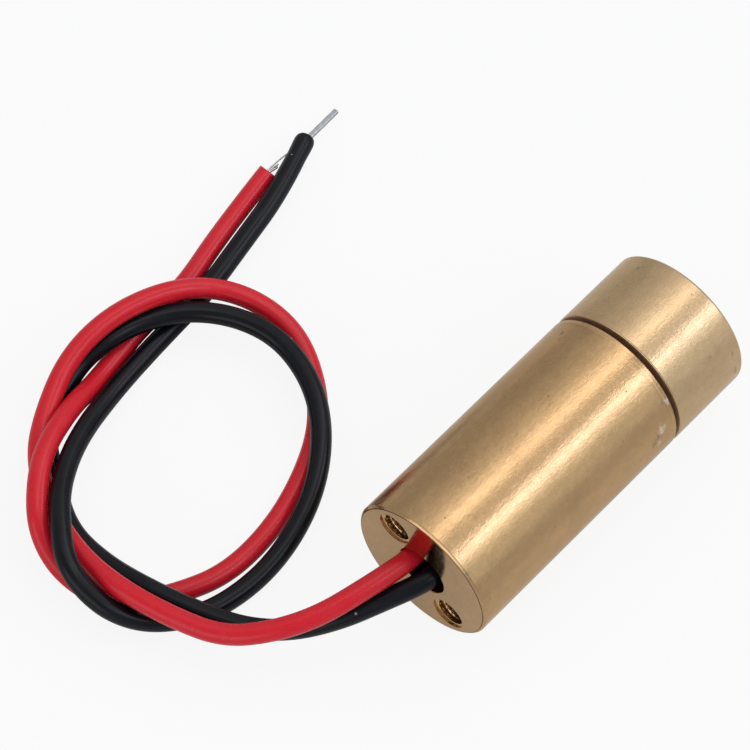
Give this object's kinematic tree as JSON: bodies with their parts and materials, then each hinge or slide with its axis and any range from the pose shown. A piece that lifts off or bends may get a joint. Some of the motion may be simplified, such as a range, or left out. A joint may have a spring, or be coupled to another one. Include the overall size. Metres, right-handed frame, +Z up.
{
  "type": "laser diode module",
  "caption": "Small brass laser diode module: a turned barrel with a screwed-in lens head, a diode and driver board inside, and two loosely knotted leads.",
  "frame": {"origin": "on the floor under the middle of the brass body, which lies on its side, with the leads left out", "axes": "+X along the body's axis from the wire end to the lens end, +Z up from the floor"},
  "size_m": [0.0343, 0.0305, 0.009],
  "materials": {
    "barrel_brass": "turned, satin, polished rear face",
    "head_brass": "turned, satin",
    "lens_glass": "polished",
    "window_glass": "polished",
    "seal_glass": "fused bead",
    "spring_steel": "drawn wire",
    "can_steel": "plated",
    "gold_plate": "gold plated",
    "semiconductor": "cleaved chip",
    "board_laminate": "solder mask",
    "black_epoxy": "moulded",
    "tan_ceramic": "fired",
    "tinned_metal": "tinned",
    "tinned_wire": "tinned strands",
    "red_insulation": "extruded, soft sheen",
    "black_insulation": "extruded, soft sheen"
  },
  "bodies": {
    "root": {"barrel": "barrel_brass", "lens_head": "head_brass", "collimating_lens": "lens_glass", "lens_spring": "spring_steel", "diode_stem": "gold_plate", "diode_cap": "can_steel", "diode_window": "window_glass", "diode_heat_post": "gold_plate", "laser_chip": "semiconductor", "monitor_photodiode": "semiconductor", "diode_pins": "gold_plate", "pin_seals": "seal_glass", "driver_board": "board_laminate", "driver_transistors": "black_epoxy", "transistor_legs": "tinned_metal", "board_resistors": "black_epoxy", "board_capacitor": "tan_ceramic", "solder_joints": "tinned_metal", "red_lead": "red_insulation", "red_lead_core": "tinned_wire", "red_lead_tip": "tinned_wire", "black_lead": "black_insulation", "black_lead_core": "tinned_wire", "black_lead_tip": "tinned_wire"}
  },
  "joints": []
}
